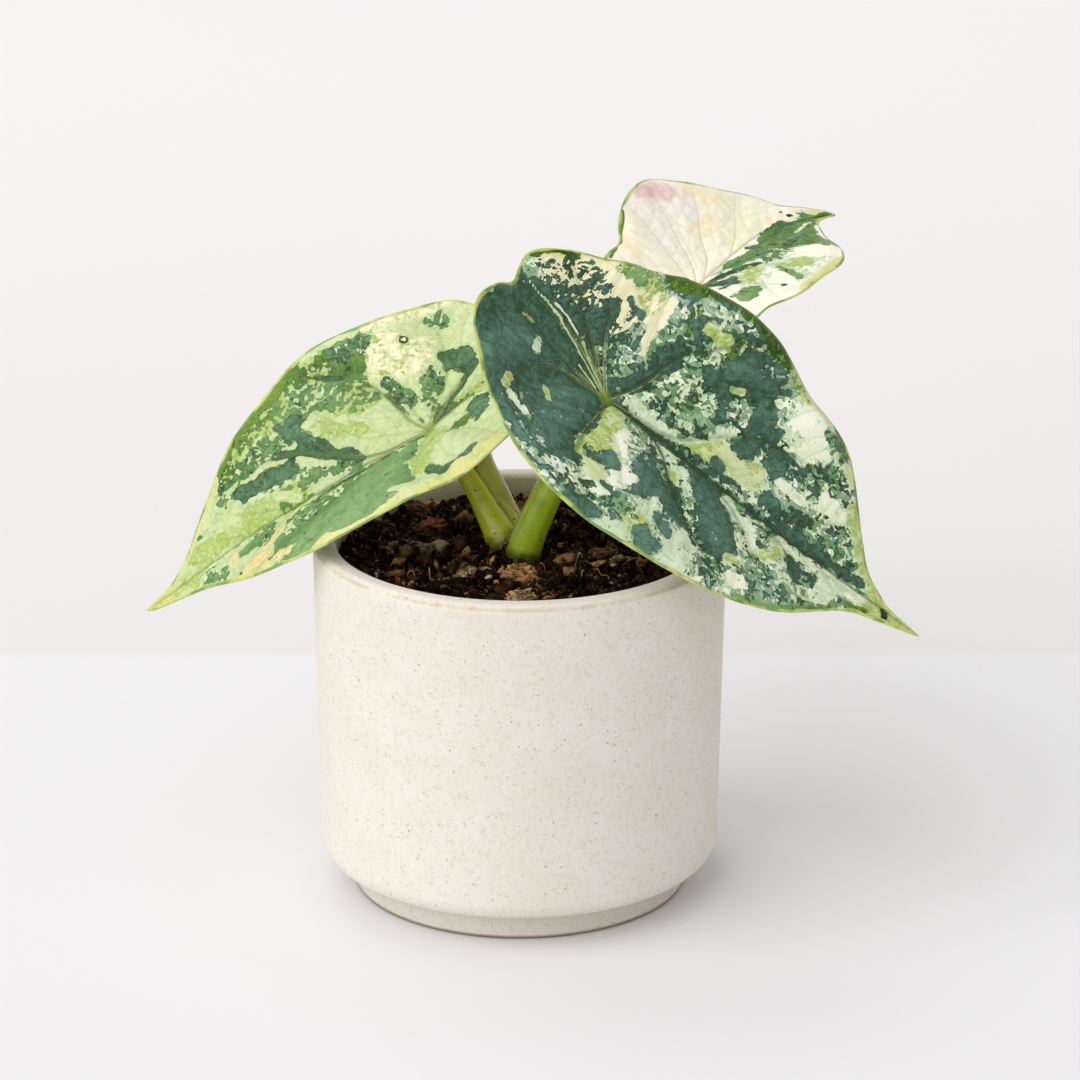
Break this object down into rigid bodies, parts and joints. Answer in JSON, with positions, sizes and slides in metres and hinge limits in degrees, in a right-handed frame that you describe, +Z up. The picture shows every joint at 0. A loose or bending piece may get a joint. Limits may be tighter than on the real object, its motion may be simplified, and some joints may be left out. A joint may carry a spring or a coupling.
{
  "type": "potted variegated silver dragon alocasia",
  "caption": "Small potted aroid house plant with thick heart-shaped leaves marked in cream, mint and dark green, in a speckled round ceramic pot.",
  "frame": {"origin": "middle of the pot's flat foot, on the surface it stands on", "axes": "+Z up along the pot's axis; the front of the plant faces -Y and the large leaf points to +X"},
  "size_m": [0.2244, 0.1711, 0.1907],
  "materials": {
    "glaze": "speckled satin glaze",
    "soil": "damp matte bark mix",
    "bark": "rough matte bark",
    "crown": "matte fibrous",
    "stalk": "smooth living plant tissue, soft sheen",
    "leaf": "thick leathery leaf, satin"
  },
  "bodies": {
    "root": {"pot": "glaze", "soil": "soil", "crown": "crown", "petiole_front": "stalk", "petiole_left": "stalk", "petiole_back": "stalk", "blade_front": "leaf", "blade_left": "leaf", "blade_back": "leaf", "chip_lump": "bark", "chip_pale": "bark", "chip_grey": "bark", "chip_red": "bark", "chip_flecked": "bark", "chip_small": "bark", "chip_right": "bark", "chip_rear_left": "bark", "chip_shaded": "bark", "chip_rear_right": "bark", "chip_rear": "bark", "chip_far_right": "bark"}
  },
  "joints": []
}
